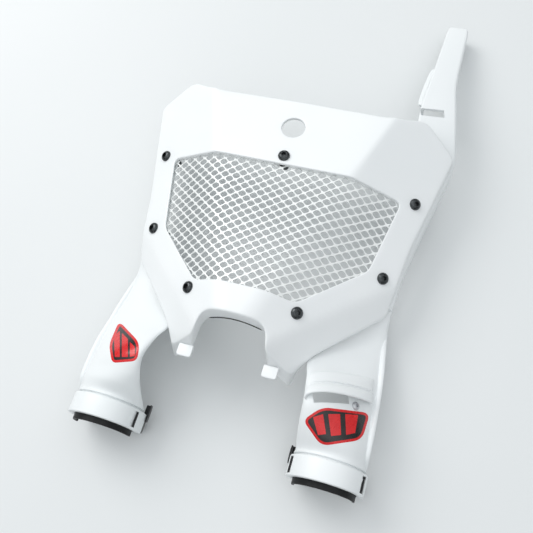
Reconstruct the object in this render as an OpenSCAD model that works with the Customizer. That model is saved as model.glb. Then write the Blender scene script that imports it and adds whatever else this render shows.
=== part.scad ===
// Front number plate for an off-road motorcycle: a folded plate with a mesh vent,
// two side rails that run from an upper arm down to a fork guard, and strapped feet.
// Shapes are drawn about the top screw: x to the viewer's right, y towards the arms,
// z forwards from the plate's front face. lay_down() then sets the part on its back.

/* [Plate] */
// Width across the outer corners
plate_w = 294; // [260:1:330]
// Height of the top edge above the top screw
top_h = 62; // [50:1:80]
// Depth of the lower edge below the top screw
lower_h = 154.5; // [145:0.5:175]
// How far each side panel folds back, in degrees
side_tilt = 31.8; // [20:0.2:36]
// How far each fold leans in towards the lower end, in degrees
fold_lean = 19.2; // [14:0.2:22]
// Half the width of the flat centre panel at its top edge
fold_x = 87; // [70:1:95]
// Extra drop of the lower bevel at its outer corner
bevel_drop = 9; // [4:0.5:12]
// Thickness of the plate
plate_t = 3; // [2:0.25:4]
// Depth of the rim round the two prongs
rim_h = 17; // [8:0.5:18]
// Length of the prongs below the lower edge
prong_l = 27; // [20:1:35]
// Diameter of the round hole above the top screw
hole_d = 21.6; // [14:0.2:26]
// Height of that hole above the top screw
hole_y = 32; // [28:1:40]

/* [Vent] */
// Half the width of the vent along its top edge
vent_top_x = 109; // [95:1:110]
// Height of the vent
vent_h = 121; // [100:1:122]
// Width of one mesh cell
cell_w = 14; // [12:0.5:20]
// Height of one mesh cell
cell_h = 11.2; // [10:0.4:16]
// Width of a mesh strand
strand_w = 1.9; // [1.2:0.1:3]
// Thickness of the mesh
mesh_t = 1.2; // [0.8:0.1:2]

/* [Screws] */
// Thread diameter
screw_d = 6; // [4:0.5:6]
// Head diameter
head_d = 10.6; // [8:0.2:12]
// Head height
head_h = 3.3; // [2:0.1:4]
// Width of the hexagon socket across its flats
socket_w = 4; // [2.5:0.5:4]
// Length of the shank under the head
shank_l = 18; // [16:1:25]
// Width of a nut across its flats
nut_w = 10; // [8:1:13]
// Thickness of a nut
nut_t = 5; // [3:0.5:6]
// Diameter of the washers behind the mesh
washer_d = 17; // [12:1:18]
// Diameter of the washers behind the rails
rail_washer_d = 12; // [11:0.5:13]
// Washer thickness
washer_t = 1.2; // [0.8:0.1:2]

/* [Rails and arms] */
// Distance from the top screw to the tip of an arm
arm_l = 232; // [200:1:260]
// Width of an arm at its tip
arm_tip_w = 21; // [16:1:26]
// Wall of the rails, arms and guards
rail_t = 3; // [2:0.25:4]
// Depth of the rail's outer wall
rail_wall_h = 20; // [12:1:24]
// Width of the strap slot at the foot of each arm
slot_w = 23; // [18:1:24]
// Height of that slot
slot_h = 9; // [6:0.5:11]

/* [Fork guards] */
// Distance between the two fork legs
fork_gap = 200; // [190:1:210]
// Distance from the plate's front face back to the fork legs' axes
fork_z = 80; // [76:1:88]
// Outer radius of a guard at its foot
foot_r = 30; // [28:0.5:32]
// Distance from the top screw down to the top of the foot band
foot_y = 238; // [225:1:250]
// Height of the foot band
band_h = 17.5; // [14:0.5:22]
// How far the foot band stands out from the guard
band_lift = 3; // [2.5:0.25:4]
// Depth of the foot band's straight ends behind the fork axis
band_leg = 6; // [3:0.5:9]
// Height of the hose hood above the right guard
hood_lift = 10; // [7:0.5:12]

/* [Straps and liners] */
// Thickness of a strap
strap_t = 1.8; // [1.2:0.1:2.4]
// Width of a strap
strap_w = 13; // [10:0.5:16]
// Thickness of the rubber liner in each foot
liner_t = 2.5; // [1.5:0.25:4]
// How far the liner stands out below the band
liner_out = 7; // [3:0.5:10]

/* [Hidden] */
$fn = 48;
clear = 0.4;
screw_clear = 0.5;
big = 600;

// Where the front face folds
fold_y = top_h - 1;
half_w = plate_w / 2;
mesh_gap = mesh_t + 1;
rail_drop = (plate_t + mesh_gap) / cos(side_tilt);
prong_y = -lower_h - prong_l;

// Height of the front face at a point, with both folds sharp
function side_run(x, y) = (abs(x) - fold_x) * cos(fold_lean) - (y - fold_y) * sin(fold_lean);
function side_z(x, y) = -side_run(x, y) * tan(side_tilt);
// The same with the fold rounded, as the mesh is bent
fold_round = 8;
function soft(u) = (u + sqrt(u * u + fold_round * fold_round)) / 2;
function mesh_z(x, y) = -soft(side_run(x, y)) * tan(side_tilt) - plate_t / cos(side_tilt) - clear;

// Corners of the plate, the vent and the bevel
half_outline = [[0, top_h], [fold_x, top_h - 1], [fold_x + 28, top_h + 13], [half_w, top_h - 8],
                [half_w - 22, -47], [half_w - 25.5, -79], [half_w - 29, -104],
                [66, prong_y + 21.5], [53.5, prong_y], [31.8, prong_y + 7], [27.5, -lower_h],
                [0, -lower_h]];
vent_y = -8;
half_vent = [[vent_top_x, vent_y], [vent_top_x - 14, vent_y - 70], [44.6, vent_y - vent_h]];
bevel_a = [half_w - 25.5, -79, side_z(half_w - 25.5, -79)];
bevel_b = [50, -150, side_z(50, -150)];
bevel_c = [half_w - 29, -104, side_z(half_w - 29, -104) - bevel_drop];
screw_places = [[half_w - 26, -3.5], [half_w - 38.8, -78.3], [48, -lower_h + 18.5]];

function unit(v) = v / norm(v);
function mirrored(half) = concat(half, [for (i = [len(half) - 1:-1:0]) if (half[i][0] != 0)
                                        [-half[i][0], half[i][1]]]);
// Moves each edge of a clockwise outline inwards
function edge_in(a, b) = let (d = unit(b - a)) [d[1], -d[0]];
function inset(pts, d) = [for (i = [0:len(pts) - 1])
    let (n = len(pts), a = pts[(i + n - 1) % n], b = pts[i], c = pts[(i + 1) % n])
    let (p = edge_in(a, b), q = edge_in(b, c))
    b + (p + q) * d / (1 + p * q)];
// Rounds each corner of an outline
corner_steps = 4;
function bend(a, b, c, r) = [for (k = [0:corner_steps])
    let (t = k / corner_steps, p = b + unit(a - b) * r, q = b + unit(c - b) * r)
    (1 - t) * (1 - t) * p + 2 * t * (1 - t) * b + t * t * q];
function rounded(pts, r) = [for (i = [0:len(pts) - 1])
    let (n = len(pts)) each bend(pts[(i + n - 1) % n], pts[i], pts[(i + 1) % n], r)];

outline = mirrored(half_outline);
vent = mirrored(half_vent);

// Radii round a fork leg, and how far above its axis the liner's longer part starts
bore_r = foot_r - rail_t;
band_r = foot_r + band_lift;
liner_fit = 0.3;
liner_r = bore_r - liner_fit - liner_t;
liner_rise = 12;

// The part rests on the arm's tip and the two straps
tip_z = -50;
tip_drop = 2;
strap_low = fork_z + liner_r + clear + strap_t;
strap_mid = foot_y + band_h / 2;
strap_front = strap_mid - strap_w / 2;
tip_low = rail_wall_h + tip_drop - tip_z;
foot_end = foot_y + band_h + liner_out;
rest_lean = atan((strap_low - tip_low) / (arm_l + strap_front));
lift = strap_low * cos(rest_lean) - strap_front * sin(rest_lean);
liner_low = fork_z - liner_rise;
shift_y = ((foot_end - arm_l) * cos(rest_lean) + (liner_low + tip_drop - tip_z) * sin(rest_lean)) / 2;
module lay_down() {
    translate([0, shift_y, lift]) rotate([-rest_lean, 0, 0]) children();
}
module both_sides() {
    children();
    mirror([1, 0, 0]) children();
}

// Everything behind a plane, set back by the given depth
module behind(inset = 0) {
    translate([-big, -big, -2 * big - inset]) cube(2 * big);
}
module behind_points(a, b, c, inset) {
    n = unit(cross(b - a, c - a)) * sign(cross(b - a, c - a)[2]);
    translate(a) rotate([0, acos(n[2]), atan2(n[1], n[0])]) behind(inset);
}
module behind_plate(inset) {
    intersection() {
        behind(inset);
        one_side(inset);
        mirror([1, 0, 0]) one_side(inset);
    }
}
module one_side(inset) {
    intersection() {
        translate([fold_x, fold_y, 0]) rotate([0, side_tilt, -fold_lean]) behind(inset);
        behind_points(bevel_a, bevel_b, bevel_c, inset);
    }
}
module prism(points) {
    translate([0, 0, -200]) linear_extrude(height = 300) polygon(points);
}

// Puts children on a screw's axis, z out of the face
module on_side(place) {
    translate([place[0], place[1], side_z(place[0], place[1])])
        rotate([0, side_tilt, -fold_lean]) children();
}
module at_screws() {
    children();
    both_sides() for (place = screw_places) on_side(place) children();
}
module at_rail_screws() {
    for (place = [screw_places[0], screw_places[1]]) on_side(place) children();
}

module front_plate() {
    color([0.95, 0.96, 0.96]) lay_down() difference() {
        union() {
            plate_skin();
            plate_rim();
            both_sides() prong_tab();
        }
        prism(rounded(vent, 5));
        translate([0, hole_y, 0]) cylinder(d = hole_d, h = 20, center = true);
        at_screws() cylinder(d = screw_d + screw_clear, h = 20, center = true);
    }
}
module plate_skin() {
    difference() {
        intersection() {
            behind_plate(0);
            prism(rounded(outline, 3));
        }
        behind_plate(plate_t);
    }
}
rim_x = 57;
module plate_rim() {
    intersection() {
        difference() {
            behind_plate(0);
            behind_plate(rim_h);
        }
        difference() {
            prism(rounded(outline, 3));
            prism(rounded(inset(outline, plate_t), 1));
        }
        translate([-rim_x, prong_y - 10, -big]) cube([2 * rim_x, prong_l + 20, 2 * big]);
    }
}
tab_w = 15;
tab_l = 9;
module prong_tab() {
    translate([30, prong_y + 6 - tab_l - 6, side_z(36, prong_y) - rim_h])
        cube([tab_w, tab_l + 6, plate_t]);
}

// Diamond mesh: a cell at each whole place where the sum of its indices is even
cell_a = cell_w / 2;
cell_b = cell_h / 2;
hole_share = 1 - strand_w / 2 / (cell_a * cell_b / norm([cell_a, cell_b]));
mesh_border = 4.5;
mesh_edge = inset(vent, -mesh_border);
rows = ceil(vent_h / cell_b) + 2;
cols = ceil(vent_top_x / cell_a) + 2;
function left_of(p, a, b) = (b[0] - a[0]) * (p[1] - a[1]) - (b[1] - a[1]) * (p[0] - a[0]);
function inside(p, pts) = max([for (i = [0:len(pts) - 1])
    left_of(p, pts[i], pts[(i + 1) % len(pts)]) / norm(pts[(i + 1) % len(pts)] - pts[i])]) < 0;
function spot(i, j) = [i * cell_a, vent_y + j * cell_b];
// Cells that a screw's shank would cut are left out: the side screws lean with their panel
shank_in = (plate_t + mesh_gap / 2) * sin(side_tilt);
function at_mesh(q) = [q[0] - shank_in * cos(fold_lean), q[1] + shank_in * sin(fold_lean)];
screw_room = screw_d * 0.8;
function near_screw(p) = len([for (q = concat([[0, 0]], [for (place = screw_places) at_mesh(place)]))
    if (abs(abs(p[0]) - q[0]) / (cell_a + screw_room) + abs(p[1] - q[1]) / (cell_b + screw_room) < 1) q]) > 0;
function is_cell(i, j) = inside(spot(i, j), mesh_edge) && !near_screw(spot(i, j));
function node_at(p, drop) = [p[0], p[1], mesh_z(p[0], p[1]) - drop];
turns = [[1, 0], [0, 1], [-1, 0], [0, -1]];
sides = [[1, 1], [-1, 1], [-1, -1], [1, -1]];
cells = [for (j = [-rows:2]) for (i = [-cols:cols]) if ((i + j) % 2 == 0 && is_cell(i, j)) [i, j]];
function cell_points(c) = [for (drop = [0, mesh_t]) for (share = [1, hole_share]) for (t = turns)
    node_at(spot(c[0] + t[0] * share, c[1] + t[1] * share), drop)];
function cell_faces(c, first) = [for (k = [0:3]) let (m = (k + 1) % 4) each concat(
    [[first + k, first + 4 + k, first + 4 + m, first + m],
     [first + 8 + k, first + 8 + m, first + 12 + m, first + 12 + k],
     [first + 4 + k, first + 12 + k, first + 12 + m, first + 4 + m]],
    is_cell(c[0] + sides[k][0], c[1] + sides[k][1]) ? []
        : [[first + k, first + m, first + 8 + m, first + 8 + k]])];
module mesh_screen() {
    color([0.72, 0.74, 0.75]) lay_down() polyhedron(
        points = [for (c = cells) each cell_points(c)],
        faces = [for (n = [0:len(cells) - 1]) each cell_faces(cells[n], 16 * n)],
        convexity = 12);
}

module plate_screws() {
    color([0.07, 0.07, 0.08]) lay_down() at_screws() button_screw(screw_d, head_d, head_h, socket_w, shank_l);
}
module button_screw(d, head, h, socket, l) {
    difference() {
        union() {
            rotate_extrude() polygon([[0, 0], [head / 2, 0], [head / 2, h * 0.3],
                                      [head * 0.46, h * 0.6], [head * 0.37, h * 0.85], [head * 0.28, h], [0, h]]);
            translate([0, 0, -l]) cylinder(d = d, h = l + 0.5);
        }
        translate([0, 0, h * 0.35]) cylinder(d = socket / cos(30), h = h, $fn = 6);
    }
}
// Nuts sit behind the rail where there is one, else behind the mesh
stack = plate_t + mesh_gap;
rail_lip = 0.5;
seat = 0.35;
rail_stack = stack + (rail_t + rail_lip) * cos(side_tilt) + seat;
module behind_mesh() {
    translate([0, 0, -stack]) children();
    both_sides() on_side(screw_places[2]) translate([0, 0, -stack]) children();
}
module behind_rails() {
    both_sides() at_rail_screws() translate([0, 0, -rail_stack]) children();
}
module washer(d) {
    translate([0, 0, -washer_t]) difference() {
        cylinder(d = d, h = washer_t);
        translate([0, 0, -1]) cylinder(d = screw_d + screw_clear, h = washer_t + 2);
    }
}
module plate_washers() {
    color([0.1, 0.1, 0.1]) lay_down() {
        behind_mesh() washer(washer_d);
        behind_rails() washer(rail_washer_d);
    }
}
module nut() {
    translate([0, 0, -washer_t - nut_t]) difference() {
        cylinder(d = nut_w / cos(30), h = nut_t, $fn = 6);
        translate([0, 0, -1]) cylinder(d = screw_d + 0.1, h = nut_t + 2);
    }
}
module plate_nuts() {
    color([0.1, 0.1, 0.1]) lay_down() {
        behind_mesh() nut();
        behind_rails() nut();
    }
}

// Rail behind each side edge of the plate: a channel swept along y. Each station is
// [y, inner x, inner z, outer x, outer z, depth of the inner wall]. On the right the
// channel runs on past the plate as an arm.
edge_x = half_w + 1.5;
tip_x = fork_gap / 2 + 35;
function on_rail(y, x) = side_z(x, y) - rail_drop;
function rail_at(y, inner, outer, sink_in, sink_out, lip) =
    [y, inner, on_rail(y, inner) - sink_in, outer, on_rail(y, outer) - sink_out, lip];
rail = [rail_at(-96, 104, half_w - 25, 3, 5, rail_lip),
        rail_at(-86, 99, half_w - 24, 0, 3, rail_lip),
        rail_at(-60, 99, half_w - 21.5, 0, 0, rail_lip),
        rail_at(-20, 106, half_w - 14, 0, 0, rail_lip),
        rail_at(20, 111, half_w - 5.5, 0, 0, rail_lip),
        rail_at(54, 112, edge_x, 0, 0, 6)];
arm = [[80, 107, -24, edge_x - 4, -36, 8],
       [110, 106.5, -28, edge_x - 9, -34, 10],
       [145, 109, -34, tip_x, -38, 10],
       [190, 111.5, -42, tip_x, -44, 9],
       [arm_l - 5, tip_x - arm_tip_w, tip_z, tip_x, tip_z, 8],
       [arm_l, tip_x - arm_tip_w + 3, tip_z - tip_drop, tip_x - 3, tip_z - tip_drop, 8]];
function rail_ring(s) = let (low = s[4] - rail_wall_h, t = rail_t)
    [[s[1], s[0], s[2] - s[5] - t], [s[1], s[0], s[2]], [s[3], s[0], s[4]], [s[3], s[0], low],
     [s[3] - t, s[0], low], [s[3] - t, s[0], s[4] - t], [s[1] + t, s[0], s[2] - t],
     [s[1] + t, s[0], s[2] - s[5] - t]];
// Closed skin over equal rings of points
function skin(n, rings) = concat([[for (k = [0:n - 1]) k]],
    [for (r = [0:rings - 2]) for (k = [0:n - 1]) let (m = (k + 1) % n)
     [r * n + k, (r + 1) * n + k, (r + 1) * n + m, r * n + m]],
    [[for (k = [n - 1:-1:0]) (rings - 1) * n + k]]);
// A smooth run through the stations, with extra rings between them
function mix(a, b, c, d, t) = 0.5 * ((2 * b) + (c - a) * t + (2 * a - 5 * b + 4 * c - d) * t * t
                                     + (3 * b - a - 3 * c + d) * t * t * t);
function smooth(list, steps) = [for (i = [0:len(list) - 2]) for (k = [0:steps - 1])
    mix(list[max(i - 1, 0)], list[i], list[i + 1], list[min(i + 2, len(list) - 1)], k / steps),
    list[len(list) - 1]];
module side_rail(with_arm) {
    swept([for (s = with_arm ? concat(rail, arm) : rail) rail_ring(s)]);
    if (with_arm) swept([for (s = lip) lip_ring(s)]);
}
module arm_slot() {
    translate([108, 90, -60]) rotate([0, 0, 15]) cube([slot_w, slot_h, 60]);
}
// A lip along the back of the arm's inner wall: [y, inner x, z]
lip = [[112, 106, -41], [118, 102.5, -42], [158, 106, -47], [168, 110.5, -49]];
function lip_ring(s) = [[s[1] - 0.5, s[0], s[2]], [s[1] - 0.5, s[0], s[2] + rail_t],
                        [s[1] + 4, s[0], s[2] + rail_t], [s[1] + 4, s[0], s[2]]];

// Fork guard: an arched shell swept along y. Each station is
// [y, inner x, inner z, outer x, outer z, rise of the arch]
fork_x = fork_gap / 2;
// The shell ends inside the band's wall
sunk_r = (foot_r + band_r) / 2 - 0.5;
guard = [[-94, 86, -64, half_w - 25.5, -70, 4],
         [-112, 76, -68, half_w - 25.5, -75, 4],
         [-132, 66, -65, half_w - 24, -77, 6],
         [-161, 63, -52, half_w - 21, -74, 9],
         [-180, 67, -39, half_w - 19.5, -72, 11],
         [-200, fork_x - foot_r, -33, fork_x + foot_r - 1, -72, 14],
         [-214, fork_x - foot_r, -42, fork_x + foot_r, -72, 17],
         [-224, fork_x - foot_r, -58, fork_x + foot_r, -74, 24],
         [-232, fork_x - foot_r, -fork_z + 4, fork_x + foot_r, -fork_z + 2, 29],
         [-foot_y + 2.5, fork_x - sunk_r, -fork_z, fork_x + sunk_r, -fork_z, sunk_r],
         [-foot_y - 1.5, fork_x - sunk_r, -fork_z, fork_x + sunk_r, -fork_z, sunk_r]];
arch_steps = 14;
// A point of the arch at a share of the way across, moved out by the given amount
function arch(s, share, out) = let (c = cos(180 * share), half = (s[3] - s[1]) / 2)
    [(s[1] + s[3]) / 2 - (half + out) * c, s[0],
     s[2] + (s[4] - s[2]) * (1 - c) / 2 + (s[5] + out) * sin(180 * share)];
function arch_ring(s, from, to, low, high, steps) = concat(
    [for (k = [0:steps]) arch(s, from + (to - from) * k / steps, high)],
    [for (k = [steps:-1:0]) arch(s, from + (to - from) * k / steps, low)]);
// Rings may be listed from either end
module swept(rings) {
    last = len(rings) - 1;
    upward = rings[last][0][1] > rings[0][0][1];
    ordered = [for (i = [0:last]) rings[upward ? i : last - i]];
    polyhedron(points = [for (r = ordered) each r], faces = skin(len(rings[0]), last + 1),
               convexity = 8);
}
module guard_shell() {
    swept([for (s = smooth(guard, 2)) arch_ring(s, 0, 1, -rail_t, 0, arch_steps)]);
}

// A thin wall along the outside of the guard, its front edge proud of the shell
fin_proud = 3;
fin_low = fork_z + band_leg - 2;
fin = [[-88, half_w - 25.2, -64], [-100, half_w - 25.2, -70], [-114, half_w - 24.4, -77],
       [-132, half_w - 22, -76], [-161, half_w - 18.6, -72], [-200, half_w - 16.6, -70],
       [-224, half_w - 16, -71], [-foot_y + 4, half_w - 16.5, -fork_z + 3]];
function fin_ring(s) = [[s[1] - rail_t, s[0], s[2]], [s[1], s[0], s[2]], [s[1], s[0], -fin_low],
                        [s[1] - rail_t, s[0], -fin_low]];
module guard_fin() {
    swept([for (s = fin) fin_ring(s)]);
}

// Foot band round the fork leg, with a slot for the strap at each end
slot_gap = strap_t + 2 * clear;
slot_x = bore_r + 1.7 + slot_gap / 2;
module across_foot(y, w) {
    translate([fork_x, y + w / 2, -fork_z]) rotate([90, 0, 0]) linear_extrude(height = w) children();
}
module half_disc(r, leg) {
    intersection() {
        circle(r);
        translate([-r, 0]) square([2 * r, r]);
    }
    translate([-r, -leg]) square([2 * r, leg]);
}
module foot_band() {
    difference() {
        across_foot(-foot_y - band_h / 2, band_h) difference() {
            half_disc(band_r, band_leg);
            half_disc(bore_r, band_leg + 1);
        }
        strap_slots();
    }
}
module strap_slots() {
    across_foot(-strap_mid, strap_w + 2 * clear) for (side = [-1, 1])
        translate([side * slot_x, 0]) square([slot_gap, 60], center = true);
}
liner_start = 3;
module foot_liner() {
    color([0.06, 0.06, 0.06]) lay_down() difference() {
        across_foot(-(foot_y + 1 + foot_end) / 2, foot_end - foot_y - 1) liner_section();
        across_foot(-foot_end, 2 * liner_step) translate([-foot_r, -foot_r])
            square([2 * foot_r, foot_r + liner_rise]);
    }
}
// Part of a ring inside the band, from its start angle to the same on the other side
liner_step = liner_out * 0.4;
reach = foot_r * 2;
module liner_section() {
    intersection() {
        difference() {
            circle(bore_r - liner_fit);
            circle(liner_r);
        }
        polygon([[0, 0], reach * [cos(liner_start), sin(liner_start)], [reach, reach], [-reach, reach],
                 reach * [-cos(liner_start), sin(liner_start)]]);
    }
}
// Strap round the back of the fork leg: a loop with room for the leg, and a free tail that
// turns up outside the band
strap_top = 11;
strap_bend = 12;
strap_tail = 14;
tail_out = band_r + clear - slot_x + strap_t / 2;
tail_low = band_leg + 5;
tail_top = 2;
function loop_side(x, low, r) = concat([[-x, strap_top]], bend([-x, 0], [-x, -low], [x, -low], r),
                                       bend([-x, -low], [x, -low], [x, 0], r), [[x, strap_top]]);
function backward(list) = [for (i = [len(list) - 1:-1:0]) list[i]];
module foot_strap() {
    low = strap_low - fork_z;
    side = slot_x + strap_t / 2;
    color([0.05, 0.05, 0.05]) lay_down() {
        across_foot(-strap_mid, strap_w) polygon(concat(loop_side(side, low, strap_bend),
            backward(loop_side(side - strap_t, low - strap_t, strap_bend - strap_t))));
        across_foot(-strap_mid, strap_w) translate([-side - tail_out, -tail_low])
            square([tail_out + strap_t / 2, strap_t]);
        across_foot(-strap_mid + strap_tail / 2, strap_w + strap_tail)
            translate([-side - tail_out, -tail_low]) square([strap_t, tail_low + tail_top]);
    }
}
module right_strap() foot_strap();
module left_strap() mirror([1, 0, 0]) foot_strap();
module right_liner() foot_liner();
module left_liner() mirror([1, 0, 0]) foot_liner();

// Hose hood on the right guard: a visor that opens towards the foot
function guard_at(y) = [for (c = [0:5]) c == 0 ? y
    : lookup(-y, [for (s = guard) [-s[0], s[c]]])];
hood_from = 0.14;
hood_to = 0.8;
hood_t = 2.4;
hood = [[-165, -2], [-169, 1.5], [-174, hood_lift * 0.55], [-181, hood_lift - 1.5], [-190, hood_lift]];
function visor(u) = sqrt(sin(180 * u));
hood_skew = 13;
// Each ring leans towards the foot on its inner side
function hood_point(s, u, out) = let (y = s[0] - hood_skew * (1 - u) * (1 - u) * max(s[1], 0) / hood_lift)
    arch(guard_at(y), hood_from + (hood_to - hood_from) * u, out);
function hood_out(s, u) = max(s[1], 0.2) * visor(u) + min(s[1], 0) + 0.2;
function hood_ring(s, steps) = concat([for (k = [0:steps]) hood_point(s, k / steps, hood_out(s, k / steps))],
    [for (k = [steps:-1:0]) hood_point(s, k / steps, hood_out(s, k / steps) - hood_t)]);
module hose_hood() {
    swept([for (s = hood) hood_ring(s, 12)]);
}
module hose_window() {
    translate([82, -187, -90]) cube([30, 12, 80]);
}
guide_share = 0.63;
guide_d = 4;
guide_y = -191;
guide_spot = arch(guard_at(guide_y), guide_share, 0);
guide_out = unit(cross(arch(guard_at(guide_y), guide_share + 0.02, 0) - guide_spot,
                       arch(guard_at(guide_y + 1), guide_share, 0) - guide_spot));
module at_guide_screw() {
    translate(guide_spot) rotate([0, acos(guide_out[2]), atan2(guide_out[1], guide_out[0])]) children();
}
module guide_screw() {
    color([0.3, 0.3, 0.32]) lay_down() at_guide_screw() translate([0, 0, clear])
        button_screw(guide_d, 7, 2.2, 2.5, 9);
}

// The freely curved walls of one guard, merged to a single skin at their own size
module curved_walls(right) {
    resize([0, 0, 0]) union() {
        side_rail(right);
        guard_fin();
        difference() {
            guard_shell();
            if (right) hose_window();
        }
        if (right) hose_hood();
    }
}
module side_guard(right) {
    difference() {
        curved_walls(right);
        at_rail_screws() cylinder(d = screw_d + screw_clear, h = 40, center = true);
        if (right) arm_slot();
        if (right) at_guide_screw() translate([0, 0, -10]) cylinder(d = guide_d + screw_clear, h = 13);
    }
    foot_band();
}
module left_side_guard() {
    color([0.94, 0.95, 0.95]) lay_down() mirror([1, 0, 0]) side_guard(false);
}
module right_side_guard() {
    color([0.94, 0.95, 0.95]) lay_down() side_guard(true);
}

front_plate();
mesh_screen();
left_side_guard();
right_side_guard();
plate_screws();
plate_nuts();
plate_washers();
guide_screw();
left_liner();
right_liner();
left_strap();
right_strap();
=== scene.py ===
# Looks for the front number plate. Soft mouldings, a fine screen, woven straps and rubber
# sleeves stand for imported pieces, and the screws, nuts and washers get finer materials. Then
# come plain badges, the floor, the lights and the photograph's camera.
import math

import bmesh
import bpy
import numpy as np
from mathutils import Matrix, Vector
from mathutils.bvhtree import BVHTree
from mathutils.geometry import delaunay_2d_cdt


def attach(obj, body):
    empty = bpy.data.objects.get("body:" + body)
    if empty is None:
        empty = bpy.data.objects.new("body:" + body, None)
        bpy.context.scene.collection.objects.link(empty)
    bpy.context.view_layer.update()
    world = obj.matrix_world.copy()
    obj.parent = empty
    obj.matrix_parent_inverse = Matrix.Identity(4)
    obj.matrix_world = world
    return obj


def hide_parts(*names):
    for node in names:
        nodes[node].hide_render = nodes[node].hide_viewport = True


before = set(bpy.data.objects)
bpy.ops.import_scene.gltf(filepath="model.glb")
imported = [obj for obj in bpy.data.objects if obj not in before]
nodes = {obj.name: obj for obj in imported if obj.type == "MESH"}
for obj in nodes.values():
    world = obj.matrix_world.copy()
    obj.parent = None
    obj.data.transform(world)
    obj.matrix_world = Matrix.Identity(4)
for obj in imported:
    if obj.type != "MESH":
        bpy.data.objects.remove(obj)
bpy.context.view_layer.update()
MM = 0.001

# The drawing frame of the part and how it lies on the floor, in millimetres
LEAN = math.atan(34.4 / 472.25)
COS, SIN = math.cos(LEAN), math.sin(LEAN)
LIFT = 106.4 * COS - 240.25 * SIN
SHIFT = (30.5 * COS + 120 * SIN) / 2


def place(x, y, z):
    """A point of the drawing frame, laid down, in metres"""
    return Vector((x, y * COS + z * SIN + SHIFT, -y * SIN + z * COS + LIFT)) * MM


def turn(x, y, z):
    """A direction of the drawing frame, laid down"""
    return Vector((x, y * COS + z * SIN, -y * SIN + z * COS))


# Camera: solved from the screws and the outline in the photograph
RIGHT = turn(0.95435, 0.28176, -0.09911).normalized()
AHEAD = turn(-0.20744, 0.38649, -0.89866).normalized()
UP = RIGHT.cross(AHEAD).normalized()
FOCAL, MIDDLE = 646.36, 266.5
SENSOR = 36
EYE = place(126.2, -314.6, 478.75)
camera = bpy.data.objects.new("camera", bpy.data.cameras.new("camera"))
bpy.context.scene.collection.objects.link(camera)
camera.matrix_world = Matrix.Translation(EYE) @ Matrix(
    (RIGHT, UP, -AHEAD)
).transposed().to_4x4()
camera.data.sensor_width = SENSOR
camera.data.lens = SENSOR * FOCAL / (2 * MIDDLE)
camera.data.clip_start = 0.01
bpy.context.scene.camera = camera


# Node materials. Noise is spread out from the range between these two
NOISE_LOW, NOISE_HIGH = 0.3, 0.7


class Mat:
    """A node material, with short ways to its nodes"""

    def __init__(self, name):
        self.mat = bpy.data.materials.new(name)
        self.mat.use_nodes = True
        self.tree = self.mat.node_tree
        self.shader = self.tree.nodes["Principled BSDF"]
        self.coord = self.node("ShaderNodeTexCoord").outputs["Object"]

    def node(self, kind, **inputs):
        n = self.tree.nodes.new(kind)
        for key, value in inputs.items():
            self.put(n.inputs[key.replace("_", " ")], value)
        return n

    def put(self, socket, value):
        if isinstance(value, bpy.types.NodeSocket):
            self.tree.links.new(value, socket)
        else:
            socket.default_value = value

    def set(self, **values):
        for key, value in values.items():
            self.put(self.shader.inputs[key.replace("_", " ")], value)
        return self

    def noise(self, scale, detail, rough=0.5):
        n = self.node("ShaderNodeTexNoise", Scale=scale, Detail=detail, Roughness=rough)
        self.put(n.inputs["Vector"], self.coord)
        return n.outputs["Fac"]

    def span(self, value, low, high):
        """Noise spread over the given range"""
        n = self.node("ShaderNodeMapRange", From_Min=NOISE_LOW, From_Max=NOISE_HIGH,
                      To_Min=low, To_Max=high)
        self.put(n.inputs["Value"], value)
        return n.outputs["Result"]

    def blend(self, fac, a, b):
        n = self.tree.nodes.new("ShaderNodeMix")
        n.data_type = "RGBA"
        self.put(n.inputs[0], fac)
        self.put(n.inputs[6], a)
        self.put(n.inputs[7], b)
        return n.outputs[2]

    def mottled(self, scale, detail, low, high):
        """A colour that wanders between two by noise"""
        return self.blend(self.span(self.noise(scale, detail), 0.0, 1.0), low, high)

    def bump(self, height, strength, distance, under=None):
        n = self.node("ShaderNodeBump", Strength=strength, Distance=distance)
        self.put(n.inputs["Height"], height)
        if under is not None:
            self.put(n.inputs["Normal"], under)
        return n.outputs["Normal"]


def rgb(r, g, b):
    return (r, g, b, 1.0)


def moulded(name, low, high, rough):
    """White moulded plastic: faint flow mottling, fine grain and soft handling marks"""
    m = Mat(name)
    marks = m.noise(38.0, 5.0, 0.6)
    grain = m.noise(2600.0, 2.0)
    m.set(Base_Color=m.mottled(9.0, 3.0, low, high))
    m.set(Roughness=m.span(marks, rough - 0.05, rough + 0.07))
    waves = m.bump(m.noise(55.0, 2.0), 0.06, 0.0006)
    m.set(Normal=m.bump(grain, 0.1, 0.00005, waves))
    m.set(IOR=1.5)
    return m.mat


def dark_metal(name, low, high, rough, metal):
    m = Mat(name)
    m.set(Base_Color=m.mottled(900.0, 4.0, low, high))
    m.set(Roughness=m.span(m.noise(400.0, 4.0), rough - 0.07, rough + 0.1), Metallic=metal)
    m.set(Normal=m.bump(m.noise(3000.0, 2.0), 0.15, 0.00004))
    return m.mat


def rubber(name):
    m = Mat(name)
    m.set(Base_Color=m.mottled(120.0, 5.0, rgb(0.006, 0.0065, 0.007), rgb(0.016, 0.0165, 0.017)))
    m.set(Roughness=m.span(m.noise(300.0, 3.0), 0.42, 0.6), Specular_IOR_Level=0.25)
    m.set(Normal=m.bump(m.noise(1500.0, 4.0), 0.35, 0.0001))
    return m.mat


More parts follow.
